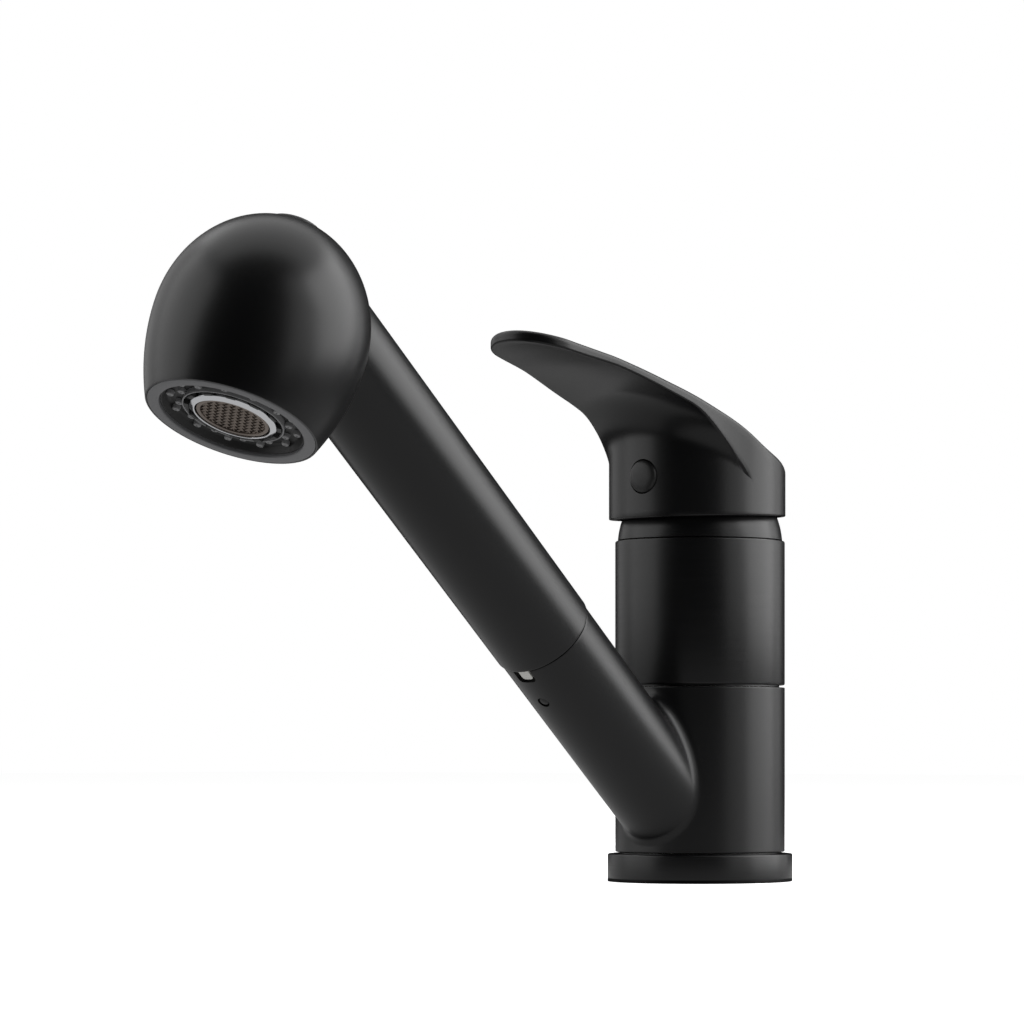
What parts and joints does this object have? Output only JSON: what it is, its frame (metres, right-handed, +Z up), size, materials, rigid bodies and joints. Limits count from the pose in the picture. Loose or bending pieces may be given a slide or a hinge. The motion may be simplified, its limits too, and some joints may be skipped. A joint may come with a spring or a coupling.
{
  "type": "pull-out kitchen mixer tap",
  "caption": "Matte black single-lever kitchen mixer with a straight rising swivel spout and a bell-shaped pull-out spray with a push-button diverter.",
  "frame": {"origin": "centre of the mounting hole on the top face of the worktop, where the deck flange stands", "axes": "+Z up along the body axis, -Y along the spout and the lever towards the user, +X to the user's right"},
  "size_m": [0.0564, 0.2448, 0.2331],
  "materials": {
    "matte_black": "matte black coating on brass and zinc castings, faintly brushed",
    "coated_plastic": "matte black coating on moulded plastic",
    "black_plastic": "moulded black plastic",
    "grey_plastic": "moulded grey plastic",
    "grey_silicone": "moulded grey silicone",
    "light_plastic": "natural moulded plastic",
    "black_rubber": "moulded rubber",
    "brass": "machined",
    "steel": "turned or woven stainless steel",
    "chrome": "bright plated",
    "ceramic": "ground alumina ceramic",
    "braid": "braided nylon over a rubber hose"
  },
  "bodies": {
    "mount": {"deck_flange": "matte_black", "base_gasket": "black_rubber", "mounting_post": "brass", "valve_body": "matte_black", "swivel_stop_pin": "steel", "swivel_o_ring": "black_rubber", "rubber_washer": "black_rubber", "steel_washer": "steel", "backnut": "brass", "cartridge_seal": "black_rubber", "cartridge_base": "light_plastic", "fixed_disc": "ceramic", "cartridge_housing": "light_plastic", "cartridge_nut": "brass", "dome_collar": "matte_black"},
    "turret": {"turret": "black_plastic", "stem_pin": "steel"},
    "disc_slider": {"moving_disc": "ceramic", "disc_carrier": "black_plastic"},
    "lever": {"stem": "brass", "lever": "matte_black", "lever_set_screw": "steel", "lever_plug": "black_plastic"},
    "spout": {"spout_body": "matte_black", "lower_glide_ring": "light_plastic", "upper_glide_ring": "light_plastic", "dock_sleeve": "light_plastic", "hose_lower": "braid"},
    "hose_end": {"hose_upper": "braid", "hose_ferrule": "steel"},
    "spray": {"docking_spigot": "light_plastic", "hose_nut": "chrome", "filter_washer": "steel", "check_valve_body": "light_plastic", "check_valve_flap": "black_rubber", "waterway": "light_plastic", "spray_shell": "coated_plastic", "face_ring": "grey_plastic", "spray_faceplate": "black_plastic", "nozzle_membrane": "grey_silicone", "aerator_key_ring": "black_plastic", "aerator_ring": "chrome", "aerator_mesh": "steel", "aerator_core": "light_plastic", "diverter_spring": "steel", "diverter_o_ring": "black_rubber"},
    "diverter": {"diverter_button": "black_plastic", "diverter_spool": "brass"}
  },
  "joints": [
    {"name": "lever_turn", "type": "hinge", "parent": "mount", "child": "turret", "pos_m": [0, 0, 0.0985], "axis": [0, 0, 1], "range_deg": [-50, 50]},
    {"name": "lever_tilt", "type": "hinge", "parent": "turret", "child": "lever", "pos_m": [0, 0, 0.0985], "axis": [-1, 0, 0], "range_deg": [0, 25]},
    {"name": "disc_slide", "type": "slide", "parent": "turret", "child": "disc_slider", "axis": [0, -1, 0], "range_m": [0, 0.0066]},
    {"name": "spout_swivel", "type": "hinge", "parent": "mount", "child": "spout", "pos_m": [0, 0, 0.03], "axis": [0, 0, 1], "range_deg": [-70, 70]},
    {"name": "spray_pull", "type": "slide", "parent": "spout", "child": "hose_end", "axis": [0, -0.7638, 0.6455], "range_m": [0, 0.065]},
    {"name": "spray_turn", "type": "hinge", "parent": "hose_end", "child": "spray", "pos_m": [0, 0, 0.0097], "axis": [0, -0.7638, 0.6455], "continuous": true},
    {"name": "diverter_press", "type": "slide", "parent": "spray", "child": "diverter", "axis": [0, -0.4131, -0.9107], "range_m": [0, 0.0025], "stiffness_N_per_m": 500, "springref_m": -0.002, "deforming": ["diverter_spring"]}
  ],
  "couplings": [
    {"joint": "disc_slide", "follows": "lever_tilt", "m_per_rad": 0.015}
  ]
}
